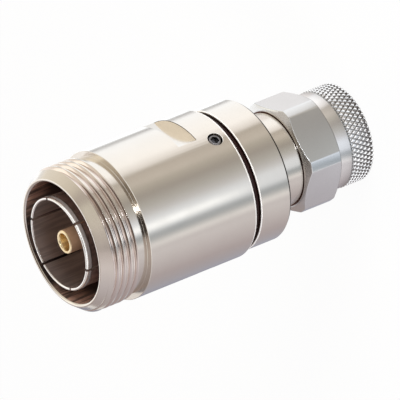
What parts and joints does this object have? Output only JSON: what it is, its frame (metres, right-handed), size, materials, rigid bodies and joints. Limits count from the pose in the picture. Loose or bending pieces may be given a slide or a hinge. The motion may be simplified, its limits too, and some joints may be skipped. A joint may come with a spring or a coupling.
{
  "type": "coaxial adapter",
  "caption": "Straight coaxial adapter: a threaded jack with a slotted outer contact at one end, a plug with a knurled, hexagonal coupling nut that turns freely at the other.",
  "frame": {"origin": "centre of the coupling nut's end face, on the axis that all round pieces share", "axes": "+Z along the axis from the plug to the jack; +X square to one wrench flat"},
  "size_m": [0.03, 0.03, 0.0674],
  "materials": {
    "nickel": "satin nickel plate over turned brass",
    "silvered": "white bronze plate over spring brass",
    "gold": "gold plate, satin",
    "bead_plastic": "waxy white, turned",
    "black_rubber": "moulded, slightly glossy",
    "silicone": "moulded, matt",
    "dark_steel": "blackened",
    "spring_steel": "plain spring steel"
  },
  "bodies": {
    "housing": {"jack_body": "nickel", "outer_contact": "silvered", "jack_contact": "gold", "inner_rod": "gold", "front_bead": "bead_plastic", "plug_body": "nickel", "housing_seal": "black_rubber", "locking_screw": "dark_steel", "plug_outer_contact": "silvered", "plug_pin": "gold", "plug_bead": "bead_plastic", "plug_gasket": "silicone", "nut_snap_ring": "spring_steel"},
    "nut": {"coupling_nut": "nickel"}
  },
  "joints": [
    {"name": "nut_spin", "type": "hinge", "parent": "housing", "child": "nut", "pos_m": [0, 0, 0.014], "axis": [0, 0, 1], "continuous": true}
  ]
}
